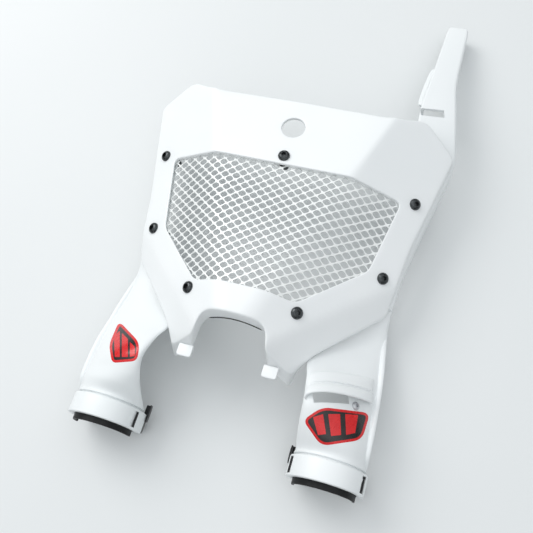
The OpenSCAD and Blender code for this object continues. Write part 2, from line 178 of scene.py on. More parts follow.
PLATE_WHITE = moulded("plate_white", rgb(0.86, 0.885, 0.89), rgb(0.9, 0.915, 0.92), 0.36)
GUARD_WHITE = moulded("guard_white", rgb(0.84, 0.87, 0.875), rgb(0.885, 0.905, 0.91), 0.4)
BLACK_STEEL = dark_metal("black_steel", rgb(0.05, 0.054, 0.056), rgb(0.1, 0.107, 0.11), 0.24, 1.0)
BLACK_NYLON = dark_metal("black_nylon", rgb(0.015, 0.015, 0.016), rgb(0.03, 0.03, 0.032), 0.55, 0.0)
PLAIN_STEEL = dark_metal("plain_steel", rgb(0.5, 0.51, 0.53), rgb(0.62, 0.63, 0.65), 0.38, 0.6)
RUBBER = rubber("liner_rubber")


def dress(node, material):
    """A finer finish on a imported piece"""
    obj = nodes[node]
    for slot in obj.material_slots:
        slot.material = material
    if not obj.material_slots:
        obj.data.materials.append(material)


for name, material in (
    ("plate_screws", BLACK_STEEL),
    ("plate_nuts", BLACK_STEEL),
    ("plate_washers", BLACK_NYLON),
    ("guide_screw", PLAIN_STEEL),
):
    dress(name, material)


def add(name, verts, faces, material, sharp=None):
    """A new object; with an angle, its faces are turned outwards and shaded smooth up to it"""
    mesh = bpy.data.meshes.new(name)
    mesh.from_pydata([tuple(v) for v in verts], [], faces)
    if sharp is not None:
        bm = bmesh.new()
        bm.from_mesh(mesh)
        bmesh.ops.recalc_face_normals(bm, faces=bm.faces[:])
        if bm.calc_volume(signed=True) < 0:
            bmesh.ops.reverse_faces(bm, faces=bm.faces[:])
        bm.to_mesh(mesh)
        bm.free()
        mesh.polygons.foreach_set("use_smooth", [True] * len(mesh.polygons))
        mesh.set_sharp_from_angle(angle=math.radians(sharp))
    if material:
        mesh.materials.append(material)
    mesh.update()
    obj = bpy.data.objects.new(name, mesh)
    bpy.context.scene.collection.objects.link(obj)
    return obj


def stand_for(obj, node):
    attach(obj, "root")
    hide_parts(node)
    return obj


# Shape helpers, in the drawing frame and in millimetres
def flowing(stations, steps):
    """A smooth run through the stations, with rows between them"""
    rows = np.array(stations, float)
    out = []
    for i in range(len(rows) - 1):
        a, b, c, d = rows[max(i - 1, 0)], rows[i], rows[i + 1], rows[min(i + 2, len(rows) - 1)]
        for t in np.arange(steps) / steps:
            out.append(0.5 * (2 * b + (c - a) * t + (2 * a - 5 * b + 4 * c - d) * t * t
                              + (3 * b - a - 3 * c + d) * t**3))
    return np.array(out + [rows[-1]])


def rounded(points, radii, steps=5):
    """A closed outline with each corner turned into a short curve"""
    pts = [np.array(q, float) for q in points]
    out = []
    for k, b in enumerate(pts):
        a, c = pts[k - 1], pts[(k + 1) % len(pts)]
        la, lc = np.linalg.norm(a - b), np.linalg.norm(c - b)
        r = min(radii[k], la * 0.49, lc * 0.49)
        p, q = b + (a - b) / la * r, b + (c - b) / lc * r
        out += [(1 - t) ** 2 * p + 2 * t * (1 - t) * b + t * t * q
                for t in np.linspace(0, 1, steps + 1)]
    return out


def dense(points, gap):
    """The same outline with no step longer than the gap"""
    out = []
    for a, b in zip(points, points[1:] + points[:1]):
        length = math.dist(a, b)
        if length > 1e-6:
            n = max(math.ceil(length / gap), 1)
            out += [a + (b - a) * k / n for k in range(n)]
    return out


def inward(points):
    """How far each point of a clockwise outline moves for an inset of one"""
    pts = np.array(points, float)
    ahead = np.roll(pts, -1, axis=0) - pts
    ahead /= np.linalg.norm(ahead, axis=1)[:, None]
    edge = np.stack([ahead[:, 1], -ahead[:, 0]], axis=1)
    both = np.roll(edge, 1, axis=0) + edge
    return both / np.maximum(1 + (np.roll(edge, 1, axis=0) * edge).sum(axis=1), 0.3)[:, None]


def edge_curve(r):
    """Inset and depth along a rounded edge"""
    return [(r * (1 - math.sin(t)), r * (1 - math.cos(t))) for t in np.radians((0, 22, 45, 68, 90))]


def ramp(value, length):
    """From 0 to 1 while the value goes from 0 to the length"""
    return min(max(value / length, 0), 1)


def skin(rings):
    """A closed skin over equal rings of points"""
    n, last = len(rings[0]), len(rings) - 1
    verts = [tuple(q) for ring in rings for q in ring]
    faces = [(r * n + k, (r + 1) * n + k, (r + 1) * n + (k + 1) % n, r * n + (k + 1) % n)
             for r in range(last) for k in range(n)]
    return verts, faces + [tuple(range(n)), tuple(last * n + k for k in reversed(range(n)))]


def box(at, size, angle=0.0):
    """A block from one corner, turned about z there"""
    c, s = math.cos(math.radians(angle)), math.sin(math.radians(angle))
    verts = []
    for k in range(8):
        x, y, z = size[0] * (k & 1), size[1] * (k >> 1 & 1), size[2] * (k >> 2)
        verts.append((at[0] + x * c - y * s, at[1] + x * s + y * c, at[2] + z))
    return verts, [(0, 2, 3, 1), (4, 5, 7, 6), (0, 1, 5, 4), (2, 6, 7, 3), (0, 4, 6, 2), (1, 3, 7, 5)]


def carve(part, tools):
    """A closed part less some blocks"""
    body = add("carved", *part, None, sharp=30)
    others = [add("tool", *tool, None, sharp=30) for tool in tools]
    for other in others:
        mod = body.modifiers.new("cut", "BOOLEAN")
        mod.operation, mod.solver, mod.object = "DIFFERENCE", "EXACT", other
    bpy.context.view_layer.update()
    bm = bmesh.new()
    bm.from_mesh(body.evaluated_get(bpy.context.evaluated_depsgraph_get()).to_mesh())
    bm.verts.index_update()
    result = [tuple(v.co) for v in bm.verts], [tuple(v.index for v in q.verts) for q in bm.faces]
    bm.free()
    for obj in [body] + others:
        mesh = obj.data
        bpy.data.objects.remove(obj)
        bpy.data.meshes.remove(mesh)
    return result


def joined(parts):
    verts, faces = [], []
    for v, f in parts:
        faces += [tuple(i + len(verts) for i in q) for q in f]
        verts += v
    return verts, faces


# Front surface of the plate: a flat middle, two folded sides and two bevelled lower corners
TILT, TURN = math.radians(31.8), math.radians(19.2)
FOLD_X, FOLD_Y, PLATE_T = 87.0, 61.0, 3.0
BEVEL_SOFT = 1.1
OUTLINE = [(0, 62), (87, 61), (115, 75), (147, 54), (125, -47), (121.5, -79), (118, -104), (66, -160),
           (53.5, -181.5), (31.8, -174.5), (27.5, -154.5), (0, -154.5)]
OUTLINE_TURNS = [1, 14, 9, 6, 14, 8, 5, 8, 4, 4, 9, 1]
VENT = [(109, -8), (95, -78), (44.6, -129)]
HOLE_Y, HOLE_R = 32, 10.8
# The deep rim round the cut-out: how far out and up it goes, and how softly it fades there
RIM_HALF, RIM_TOP, RIM_FADE, RIM_DEPTH = 57, -144, 5, 17
CUT_Y, PRONG_IN, PRONG_LEAN, LEAN_TOP, LEAN_FADE = -154.5, 29, 5.5, -170, 6
PRONG_TIP = (36, -181.5)
TAB_IN, TAB_OUT, TAB_TOP, TAB_END = 31, 44, -180, -190.5
# Elsewhere the outer edge hangs down by this share of the wall
EDGE_SHARE = 1.2
# Section of the outer edge below its rounding: the inset, how far it ends above the edge's
# depth, and how much further above at the rim
EDGE_SECTION = [(0.0, 0.7, 2.4), (0.2, 0.2, 2.2), (0.7, 0, 1.9), (1.6, 0, 1.7), (1.7, 0, 0),
                (2.3, 0, 0), (2.8, 0.2, 0), (3.0, 0.55, 0)]
# The same for the edges of the openings, above the plate's back
OPENING_SECTION = [(0.0, 0.5), (0.15, 0.15), (0.5, 0)]
# Spacing of the points on the faces, and how near they come to folds and edges
GRID, FOLD_GRID, FOLD_GAP, EDGE_GAP = 4.2, 4.5, 1.5, 1.6


def side_run(x, y):
    return (abs(x) - FOLD_X) * math.cos(TURN) - (y - FOLD_Y) * math.sin(TURN)


def side_z(x, y):
    return -side_run(x, y) * math.tan(TILT)


def softness(y):
    """Half-width of the soft turn at a fold, which widens towards the chin"""
    return 3.2 + 5 * np.clip((20 - y) / 150, 0, 1)


def eased(u, w):
    """Nothing before a fold, u beyond it, and a soft turn of half-width w between"""
    return 0.0 if u <= -w else u if u >= w else (u + w) ** 2 / (4 * w)


BEVEL = np.linalg.solve(
    [[121.5, -79, 1], [50, -150, 1], [118, -104, 1]],
    [side_z(121.5, -79), side_z(50, -150), side_z(118, -104) - 9],
)


def front(x, y):
    side = -eased(side_run(x, y), softness(y)) * math.tan(TILT)
    return side - eased(side - BEVEL @ (abs(x), y, 1), BEVEL_SOFT)


def wall(x, y):
    """Upright thickness of the plate, which grows where the side leans"""
    lean = min(max(side_run(x, y) / softness(y), -1), 1) / 2 + 0.5
    return PLATE_T * (1 + lean * (1 / math.cos(TILT) - 1))


def mirrored(half):
    return half + [(-x, y) for x, y in reversed(half) if x]


def crosses(x, y, loop):
    """Whether each point lies inside a closed outline"""
    inside = np.zeros(len(x), bool)
    for (ax, ay), (bx, by) in zip(loop, np.roll(loop, -1, axis=0)):
        if ay != by:
            inside ^= ((ay > y) != (by > y)) & (x < (bx - ax) * (y - ay) / (by - ay) + ax)
    return inside


def clearance(x, y, loop):
    """Distance from each point to a closed outline"""
    best = np.full(len(x), 1e9)
    q = np.stack([x, y], axis=1)
    for a, b in zip(np.array(loop), np.roll(loop, -1, axis=0)):
        d = b - a
        t = np.clip(((q - a) @ d) / max(d @ d, 1e-12), 0, 1)
        best = np.minimum(best, np.linalg.norm(q - a - t[:, None] * d, axis=1))
    return best


def filling(loops, indices, add_vert, flip):
    """Faces that fill the first outline round the others, over an even grid of points"""
    x, y = [v.ravel() for v in np.meshgrid(np.arange(-147, 148, GRID), np.arange(-181, 76, GRID))]
    keep = np.abs(side_run(x, y)) > softness(y) + FOLD_GAP
    x, y = x[keep], y[keep]
    along = np.arange(-110, 270, FOLD_GRID)
    for k, share in enumerate(np.linspace(-1, 1, 9)):
        down = along + (k % 2) * 2
        run = share * softness(FOLD_Y - down * math.cos(TURN))
        fx = FOLD_X + run * math.cos(TURN) - down * math.sin(TURN)
        fy = FOLD_Y - run * math.sin(TURN) - down * math.cos(TURN)
        good = fx > 2
        x = np.concatenate([x, fx[good], -fx[good]])
        y = np.concatenate([y, fy[good], fy[good]])
    keep = crosses(x, y, loops[0])
    for loop in loops[1:]:
        keep &= ~crosses(x, y, loop)
    for loop in loops:
        keep &= clearance(x, y, loop) > EDGE_GAP
    points, edges, known = [], [], []
    for loop, index in zip(loops, indices):
        first = len(points)
        points += [Vector(q) for q in loop]
        known += index
        edges += [(first + k, first + (k + 1) % len(loop)) for k in range(len(loop))]
    points += [Vector(q) for q in zip(x[keep], y[keep])]
    known += [add_vert(*q) for q in zip(x[keep], y[keep])]
    coords, _, faces, source, _, _ = delaunay_2d_cdt(points, edges, [], 1, 1e-5)
    out = []
    middle = np.array([sum((coords[i] for i in f), Vector((0, 0))) / len(f) for f in faces])
    keep = crosses(middle[:, 0], middle[:, 1], loops[0])
    for loop in loops[1:]:
        keep &= ~crosses(middle[:, 0], middle[:, 1], loop)
    for f, good in zip(faces, keep):
        if good:
            f = tuple(known[source[i][0]] for i in f)
            out.append(f[::-1] if flip else f)
    return out


def rim_share(x, y):
    """1 at the rim round the cut-out, 0 away from it"""
    near = ramp(RIM_HALF - abs(x), RIM_FADE) * ramp(RIM_TOP - y, RIM_FADE)
    return near * near * (3 - 2 * near)


def rim_depth(x, y):
    return wall(x, y) * (EDGE_SHARE + rim_share(x, y) * (RIM_DEPTH / PLATE_T - EDGE_SHARE))


def flare(x, y, depth):
    """How far the wall at a prong's end leans outwards at this depth"""
    end = ramp(LEAN_TOP - y, LEAN_FADE) * (PRONG_IN < abs(x) < RIM_HALF)
    return PRONG_LEAN * end * ramp(depth - PLATE_T, RIM_DEPTH - PLATE_T)


def edge_steps(radius, outer):
    """Inset and depth of each ring of points down an edge, from front to back"""
    steps = [(d, lambda x, y, h=h: h) for d, h in edge_curve(radius)]
    if not outer:
        return steps + [(d, lambda x, y, up=up: wall(x, y) - up) for d, up in OPENING_SECTION]
    steps += [(d, lambda x, y, up=up, more=more: rim_depth(x, y) - up - more * rim_share(x, y))
              for d, up, more in EDGE_SECTION]
    return steps + [(EDGE_SECTION[-1][0], wall)]


def soft_plate():
    outline = dense(rounded(mirrored(OUTLINE), OUTLINE_TURNS + OUTLINE_TURNS[-2:0:-1]), 2.5)
    vent = dense(rounded(mirrored(VENT), [6] * 6), 2.5)
    hole = [np.array((HOLE_R * math.sin(t), HOLE_Y + HOLE_R * math.cos(t)))
            for t in np.linspace(0, 2 * math.pi, 64, endpoint=False)]
    verts, faces = [], []

    def put(x, y, z):
        verts.append((x, y, z))
        return len(verts) - 1

    tops, tops_at, backs, backs_at = [], [], [], []
    for loop, side, radius in ((outline, 1, 1.7), (vent, -1, 1.0), (hole, -1, 0.9)):
        base, move = np.array(loop), inward(loop) * side
        rings = []
        for inset, depth in edge_steps(radius, side > 0):
            ring = base + move * inset
            deep = [depth(x, y) for x, y in ring]
            rings.append([put(x, y - flare(x, y, d), front(x, y) - d) for (x, y), d in zip(ring, deep)])
            if len(rings) == 1:
                tops.append(ring)
        tops_at.append(rings[0])
        backs.append(ring)
        backs_at.append(rings[-1])
        for a, b in zip(rings, rings[1:]):
            faces += [(a[k], b[k], b[(k + 1) % len(a)], a[(k + 1) % len(a)]) for k in range(len(a))]
    faces += filling(tops, tops_at, lambda x, y: put(x, y, front(x, y)), False)
    faces += filling(backs, backs_at, lambda x, y: put(x, y, front(x, y) - wall(x, y)), True)
    floor_z = side_z(*PRONG_TIP) - RIM_DEPTH
    for left, right in ((-TAB_OUT, -TAB_IN), (TAB_IN, TAB_OUT)):
        corners = [(left, TAB_TOP), (right, TAB_TOP), (right, TAB_END), (left, TAB_END)]
        tab = rounded(corners, [1, 1, 2.5, 2.5])
        base, move = np.array(tab), inward(tab)
        curve = edge_curve(0.8)
        rows = [(d, floor_z + h) for d, h in curve]
        rows += [(d, floor_z + PLATE_T - h) for d, h in reversed(curve)]
        v, f = skin([[(x, y, z) for x, y in base + move * d] for d, z in rows])
        faces += [tuple(i + len(verts) for i in q) for q in f]
        verts += v
    return [place(*v) for v in verts], faces


stand_for(add("plate_moulding", *soft_plate(), PLATE_WHITE, sharp=42), "front_plate")

# Thin dark strip along the lower edge of the cut-out's rim, in the liners' dark rubber: painted shade
# that stands in for the shadow line there
SHADE_STRIP_SECTION = [(-154.8, -0.2), (-154.8, 0.2), (-154.0, 0.2), (-154.0, -0.2)]
shade_strip = []
for x in np.linspace(-25, 25, 41):
    low = front(x, CUT_Y) - wall(x, CUT_Y) * RIM_DEPTH / PLATE_T
    shade_strip.append([place(x, y, low + dz) for y, dz in SHADE_STRIP_SECTION])
# This dark strip is painted shade along the rim's lower edge
rim_shade_strip = add("rim_shade_strip", *skin(shade_strip), RUBBER, sharp=30)
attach(rim_shade_strip, "root")

# Side mouldings: rail, arm, fork guard, fin, hose hood and foot band. Rows of guard, rail and
# arm hold y, then x and z of the inner and of the outer edge, then the arch's height or the
# inner lip's depth. Rows of fin and lip hold y, x and z.
FORK_X, FORK_Z = 100.0, -80.0
RAIL_DROP = 5.2 / math.cos(TILT)
GUARD_WALL, RAIL_SKIRT, EDGE_X = 3.0, 20, 148.5
GUARD = [(-94, 86, -64, 121.5, -70, 4), (-112, 76, -68, 121.5, -75, 4), (-132, 66, -65, 123, -77, 6),
         (-161, 63, -52, 126, -74, 9), (-180, 67, -39, 127.5, -72, 11), (-200, 70, -33, 129, -72, 14),
         (-214, 70, -42, 130, -72, 17), (-224, 70, -58, 130, -74, 24), (-232, 70, -76, 130, -78, 29),
         (-235.5, 69, -80, 131, -80, 31), (-239.5, 69, -80, 131, -80, 31)]
GUARD_ROWS = flowing(GUARD, 8)


def guard_at(y):
    return [y] + [np.interp(-y, -GUARD_ROWS[:, 0], GUARD_ROWS[:, c]) for c in range(1, 6)]


def arch(row, share, out):
    """A point across a guard's arch, moved out by the given amount"""
    y, inner_x, inner_z, outer_x, outer_z, height = row
    c, half = math.cos(math.pi * share), (outer_x - inner_x) / 2
    return ((inner_x + outer_x) / 2 - (half + out) * c, y,
            inner_z + (outer_z - inner_z) * (1 - c) / 2 + (height + out) * math.sin(math.pi * share))


def shell_ring(row, drop=0.0, steps=40):
    """Section of a guard's shell, made smaller all round by the drop"""
    y, inner_x, inner_z, outer_x, outer_z, height = row
    row = [y, inner_x + drop, inner_z, outer_x - drop, outer_z, height - drop]
    shares = np.linspace(0, 1, steps + 1)
    ends = [arch(row, end, -GUARD_WALL / 2) for end in (1, 0)]
    ends = [(px, py, pz - 0.9) for px, py, pz in ends]
    return ([arch(row, u, 0) for u in shares] + [ends[0]]
            + [arch(row, u, -GUARD_WALL) for u in shares[::-1]] + [ends[1]])


def rail_ring(row):
    """Section of a rail: a top, a skirt on its outer side and a lip on its inner side"""
    y, inner_x, inner_z, outer_x, outer_z, lip = row
    low, t = outer_z - RAIL_SKIRT, GUARD_WALL
    points = [(inner_x, inner_z - lip - t), (inner_x, inner_z), (outer_x, outer_z), (outer_x, low),
              (outer_x - t, low), (outer_x - t, outer_z - t), (inner_x + t, inner_z - t),
              (inner_x + t, inner_z - lip - t)]
    return [(min(x, EDGE_X), y, z)
            for x, z in rounded(points, [0.9, 2.2, 3.2, 1.2, 1.2, 1, 1, 0.9], 4)]


def rail_at(y, inner, outer, sink_in, sink_out, lip):
    return (y, inner, side_z(inner, y) - RAIL_DROP - sink_in,
            outer, side_z(outer, y) - RAIL_DROP - sink_out, lip)


RAIL = [rail_at(-96, 104, 122, 3, 5, 0.5), rail_at(-86, 99, 123, 0, 3, 0.5),
        rail_at(-60, 99, 125.5, 0, 0, 0.5), rail_at(-20, 106, 133, 0, 0, 0.5),
        rail_at(20, 111, 141.5, 0, 0, 0.5), rail_at(54, 112, EDGE_X, 0, 0, 6)]
ARM = [(80, 107, -24, 144.5, -36, 8), (110, 106.5, -28, 139.5, -34, 10), (145, 109, -34, 135, -38, 10),
       (190, 111.5, -42, 135, -44, 9), (227, 114, -50, 135, -50, 8), (232, 117, -52, 132, -52, 8)]
LIP = [(112, 106, -41), (118, 102.5, -42), (158, 106, -47), (168, 110.5, -49)]
FIN = [(-88, 121.8, -64), (-100, 121.8, -70), (-114, 122.6, -77), (-132, 125, -76), (-161, 128.4, -72),
       (-200, 130.4, -70), (-224, 131, -71), (-234, 130.5, -77)]
# Rows of the hood: y, height over the guard and thinning; a collar, then the visor
HOOD = [(-161.5, -1.4), (-163.4, -0.4), (-163.9, 2.2), (-164.8, 3.9), (-167.0, 4.7), (-171.5, 5.0),
        (-174.6, 5.2), (-175.4, 3.6), (-177.0, 3.6), (-177.7, 7.0), (-179.0, 8.5), (-181.0, 9.3),
        (-183.2, 9.8), (-185.4, 10), (-186, 10, 0.5), (-186.2, 10, 1.0)]
HOOD_WALL, HOOD_START, HOOD_SPAN = 2.4, 0.14, 0.66
FIN_LOW, FIN_LIFT, SHELF_LIFT = -84, 3.4, 5.6
# The groove above the foot band: y and how far the shell steps in there
GROOVE_TOP = -235.6
GROOVE = [(-235.9, 0.3), (-236.1, 2.2), (-239.5, 2.2)]
# The foot band: radii, how far its legs go below the fork's middle, and its two ends
BAND_OUT, BAND_IN, BAND_LEG, BAND_LOW, BAND_HIGH = 33, 27, -6, -255.5, -238
SLOT_X, SLOT_LOW, SLOT_SIZE = 30, -253.65, (2.6, 13.8, 60)
ARM_SLOT = box((108, 90, -60), (23, 9, 60), 15)
HOSE_WINDOW = box((79, -201.5, -90), (28.5, 22, 80), 21)


def fin_ring(row):
    """Section of the fin, with a raised lip that grows towards the foot and fades before it"""
    y, x, top = row
    shelf = ramp(-165 - y, 25) * ramp(y + 235, 10)
    high = top + FIN_LIFT * ramp(-100 - y, 30) + SHELF_LIFT * shelf
    points = [(x - 3, FIN_LOW), (x - 3, top - 3), (x - 8, high - 3.6), (x - 2.6, high), (x, high - 1),
              (x, FIN_LOW)]
    return [(px, y, pz) for px, pz in rounded(points, [0.3, 1, 1.5, 1.5, 1.2, 0.3])]


def hood_ring(y, lift, pinch=0.0, steps=32):
    """Section of the hood across the guard, lifted most in the middle"""
    outer, inner = [], []
    for u in np.linspace(0, 1, steps + 1):
        s = guard_at(y + 3 * u * u - 15 * (1 - u) ** 2)
        out = max(lift, 0.2) * math.sqrt(math.sin(math.pi * u)) + min(lift, 0) + 0.2
        share = HOOD_START + HOOD_SPAN * u
        outer.append(arch(s, share, out - pinch))
        inner.append(arch(s, share, out - HOOD_WALL + pinch))
    return outer + inner[::-1]


def lip_ring(row):
    y, x, z = row
    corners = [(x - 0.5, z), (x - 0.5, z + 3), (x + 4, z + 3), (x + 4, z)]
    return [(px, y, pz) for px, pz in rounded(corners, [0.9] * 4, 3)]


def foot_band():
    arc = np.linspace(math.pi, 0, 61)
    section = ([(-BAND_OUT, BAND_LEG)] + [(BAND_OUT * math.cos(t), BAND_OUT * math.sin(t)) for t in arc]
               + [(BAND_OUT, BAND_LEG), (BAND_IN, BAND_LEG)]
               + [(BAND_IN * math.cos(t), BAND_IN * math.sin(t)) for t in arc[::-1]]
               + [(-BAND_IN, BAND_LEG)])
    base, move = np.array(section), inward(section)
    curve = edge_curve(0.9)
    rows = [(d, BAND_LOW + h) for d, h in curve] + [(d, BAND_HIGH - h) for d, h in reversed(curve)]
    rings = [[(FORK_X + x, y, FORK_Z + z) for x, z in base + move * d] for d, y in rows]
    slots = [box((FORK_X + side * SLOT_X - SLOT_SIZE[0] / 2, SLOT_LOW, FORK_Z - 30), SLOT_SIZE)
             for side in (-1, 1)]
    return carve(skin(rings), slots)


def side_moulding(name, node, side, full):
    """One side's moulding; the full one has the arm, the hood and the window under it"""
    rail = skin([rail_ring(row) for row in flowing(RAIL + (ARM if full else []), 7)])
    rings = [shell_ring(row) for row in GUARD_ROWS if row[0] > GROOVE_TOP]
    shell = skin(rings + [shell_ring(guard_at(y), drop) for y, drop in GROOVE])
    parts = [skin([fin_ring(row) for row in flowing(FIN, 6)]), foot_band()]
    if full:
        rail = carve(rail, [ARM_SLOT])
        shell = carve(shell, [HOSE_WINDOW])
        parts.append(skin([hood_ring(*row) for row in HOOD]))
        parts.append(skin([lip_ring(row) for row in flowing(LIP, 6)]))
    verts, faces = joined([rail, shell] + parts)
    obj = add(name, [place(side * x, y, z) for x, y, z in verts], faces, GUARD_WHITE, sharp=40)
    return stand_for(obj, node)


left_moulding = side_moulding("left_moulding", "left_side_guard", -1, False)
right_moulding = side_moulding("right_moulding", "right_side_guard", 1, True)

# Fine expanded-metal screen, bent like the plate. Its cells' middles pass the vent's edge by
# up to the reach
FOLD_ROUND, SCREEN_TOP, SCREEN_REACH = 8.0, 2, 3.4
CLEAR, MESH_T = 0.4, 1.1
PITCH_X, PITCH_Y, STRAND, TWIST = 10.66, 8.26, 1.65, 0.14
# Points round a cell, how round its opening is and how much of the space it takes
CELL_POINTS, CELL_ROUND, CELL_OPEN = 12, 1.35, 0.97


def mesh_z(x, y):
    run = side_run(x, y)
    soft = (run + math.sqrt(run * run + FOLD_ROUND**2)) / 2
    return -soft * math.tan(TILT) - PLATE_T / math.cos(TILT) - CLEAR


def inside(x, y, margin):
    """Whether a point lies in the vent or passes its edge by less than the margin"""
    x = abs(x)
    if y > VENT[0][1] + margin or y < VENT[-1][1] - margin:
        return False
    for (ax, ay), (bx, by) in zip(VENT, VENT[1:]):
        d = math.hypot(bx - ax, by - ay)
        if ((bx - ax) * (y - ay) - (by - ay) * (x - ax)) / d > margin:
            return False
    return True


def screen():
    a, b = PITCH_X / 2, PITCH_Y / 2
    tall = a * b / math.hypot(a, b)
    share = 1 - STRAND / 2 / tall
    spots = [(math.pi / 2 * k / 3) for k in range(CELL_POINTS)]

    def rim(cx, cy, k):
        c, s = math.cos(spots[k]), math.sin(spots[k])
        d = 1 / (abs(c) + abs(s))
        return cx + a * c * d, cy + b * s * d

    def hole(cx, cy, k):
        c, s = math.cos(spots[k]), math.sin(spots[k])
        d = (1 / (abs(c) ** CELL_ROUND + abs(s) ** CELL_ROUND)) ** (1 / CELL_ROUND)
        return cx + a * c * d * share * CELL_OPEN, cy + b * s * d * share * CELL_OPEN

    verts, faces = [], []
    cols = int(VENT[0][0] / a) + 3
    rows = int((VENT[0][1] - VENT[-1][1]) / b) + 3
    for j in range(-rows, 3):
        for i in range(-cols, cols + 1):
            cx, cy = i * a, VENT[0][1] + SCREEN_TOP + j * b
            if (i + j) % 2 or not inside(cx, cy, SCREEN_REACH):
                continue
            first = len(verts)
            # The opening's upper half stands a little in front of its lower half
            for k in range(CELL_POINTS):
                for (x, y), up in ((rim(cx, cy, k), 0.0), (hole(cx, cy, k), 1.0)):
                    skew = TWIST * math.sin(spots[k]) * up
                    z = mesh_z(x, y)
                    verts.append(place(x, y, z + skew))
                    verts.append(place(x, y, z - MESH_T + skew))
            for k in range(CELL_POINTS):
                p, q = first + 4 * k, first + 4 * ((k + 1) % CELL_POINTS)
                faces.append((p, q, q + 2, p + 2))
                faces.append((p + 1, p + 3, q + 3, q + 1))
                faces.append((p + 2, q + 2, q + 3, p + 3))
    return verts, faces


def screen_metal():
    m = Mat("screen_metal")
    m.set(Base_Color=m.mottled(160.0, 4.0, rgb(0.84, 0.86, 0.85), rgb(0.94, 0.95, 0.94)))
    m.set(Roughness=m.span(m.noise(500.0, 4.0), 0.3, 0.48), Metallic=0.2)
    m.set(Normal=m.bump(m.noise(900.0, 3.0), 0.25, 0.0001))
    return m.mat


stand_for(add("fine_screen", *screen(), screen_metal(), sharp=25), "mesh_screen")


# Woven straps with rounded turns, in place of the plain loops
def webbing(name):
    m = Mat(name)
    across = m.node("ShaderNodeTexWave", Scale=420.0, Distortion=0.6)
    m.put(across.inputs["Vector"], m.coord)
    m.set(Base_Color=m.mottled(1400.0, 3.0, rgb(0.008, 0.008, 0.009), rgb(0.035, 0.035, 0.038)))
    m.set(Roughness=m.span(m.noise(700.0, 3.0), 0.7, 0.92))
    m.set(Sheen_Weight=0.25, Sheen_Roughness=0.5)
    rough = m.bump(across.outputs["Fac"], 0.5, 0.0002)
    m.set(Normal=m.bump(m.noise(2500.0, 3.0), 0.5, 0.00015, rough))
    return m.mat


def rounded_path(points, radius, steps=7):
    """A run of points with each inner corner turned into a short arc"""
    points = [Vector(p) for p in points]
    out = [points[0]]
    for a, b, c in zip(points, points[1:], points[2:]):
        r = min(radius, (a - b).length * 0.48, (c - b).length * 0.48)
        p, q = b + (a - b).normalized() * r, b + (c - b).normalized() * r
        for k in range(steps + 1):
            t = k / steps
            out.append((1 - t) ** 2 * p + 2 * t * (1 - t) * b + t * t * q)
    return out + [points[-1]]


def ribbon(points, radius, low, high, thick, side, rows=4):
    """A strap along a path in x and z, between two places in y, with thinner edges"""
    spine = rounded_path(points, radius)
    verts, faces = [], []
    for i, p in enumerate(spine):
        along = (spine[min(i + 1, len(spine) - 1)] - spine[max(i - 1, 0)]).normalized()
        out = Vector((-along.y, along.x)) * thick / 2
        for k in range(rows + 1):
            y = low + (high - low) * k / rows
            soft = 1.0 if 0 < k < rows else EDGE_THIN
            for s in (1, -1):
                q = p + out * s * soft
                verts.append(place(side * (FORK_X + q.x), y, FORK_Z + q.y))
    ring = 2 * (rows + 1)
    for i in range(len(spine) - 1):
        for k in range(rows):
            a = i * ring + 2 * k
            faces.append((a, a + 2, a + 2 + ring, a + ring))
            faces.append((a + 1, a + 1 + ring, a + 3 + ring, a + 3))
        for a in (i * ring, i * ring + 2 * rows):
            quad = (a, a + ring, a + ring + 1, a + 1)
            faces.append(quad if a == i * ring else quad[::-1])
    for i in (0, len(spine) - 1):
        for k in range(rows):
            a = i * ring + 2 * k
            quad = (a, a + 1, a + 3, a + 2)
            faces.append(quad if i == 0 else quad[::-1])
    if side < 0:
        faces = [f[::-1] for f in faces]
    return verts, faces


WEBBING = webbing("strap_webbing")
# The loop and the free tail of a strap, as paths in x and z from the fork's middle
LOOP = [(-30, 10.6), (-30, -25.5), (30, -25.5), (30, 10.6)]
TAIL = [(-29, -10.1), (-34.3, -10.1), (-34.3, -4.5)]
LOOP_T, TAIL_T, EDGE_THIN = 1.7, 1.6, 0.55
LINER_OUT, LINER_IN, LINER_LOW, LINER_HIGH = 26.7, 24.2, -260.6, -239


def strap(name, node, side):
    parts = [ribbon(LOOP, 12.0, -253.2, -240.3, LOOP_T, side),
             ribbon(TAIL, 2.0, -244.0, -229.0, TAIL_T, side)]
    stand_for(add(name, *joined(parts), WEBBING, sharp=50), node)


def liner(name, node, side):
    """Half-round rubber sleeve inside a foot, with softly rounded edges"""
    arc = np.radians(np.linspace(183, -3, 63))
    section = ([(LINER_OUT * math.cos(t), LINER_OUT * math.sin(t)) for t in arc]
               + [(LINER_IN * math.cos(t), LINER_IN * math.sin(t)) for t in arc[::-1]])
    base, move = np.array(section), inward(section)
    curve = edge_curve(0.7)
    rows = [(d, LINER_LOW + h) for d, h in curve] + [(d, LINER_HIGH - h) for d, h in reversed(curve)]
    rings = [[place(side * (FORK_X + x), y, FORK_Z + z) for x, z in base + move * d] for d, y in rows]
    stand_for(add(name, *skin(rings), RUBBER, sharp=45), node)


liner("left_sleeve", "left_liner", -1)
liner("right_sleeve", "right_liner", 1)

strap("left_webbing", "left_strap", -1)
strap("right_webbing", "right_strap", 1)


# Stickers: a plain generic badge of bars, laid on the guards
def print_ink(name, low, high):
    m = Mat(name)
    m.set(Base_Color=m.mottled(180.0, 3.0, low, high))
    m.set(Roughness=m.span(m.noise(260.0, 3.0), 0.22, 0.34))
    m.set(Coat_Weight=0.3, Coat_Roughness=0.15)
    m.set(Normal=m.bump(m.noise(70.0, 2.0), 0.05, 0.0003))
    return m.mat


INK_RED = print_ink("ink_red", rgb(0.66, 0.012, 0.016), rgb(0.76, 0.02, 0.022))
INK_BLACK = print_ink("ink_black", rgb(0.012, 0.01, 0.01), rgb(0.022, 0.02, 0.02))
# Width of a badge's bright edge in pixels, and how far its layers stand off the guard
BADGE_EDGE, EDGE_LIFT, FIELD_LIFT, BAR_LIFT = 2.6, 0.1, 0.16, 0.22


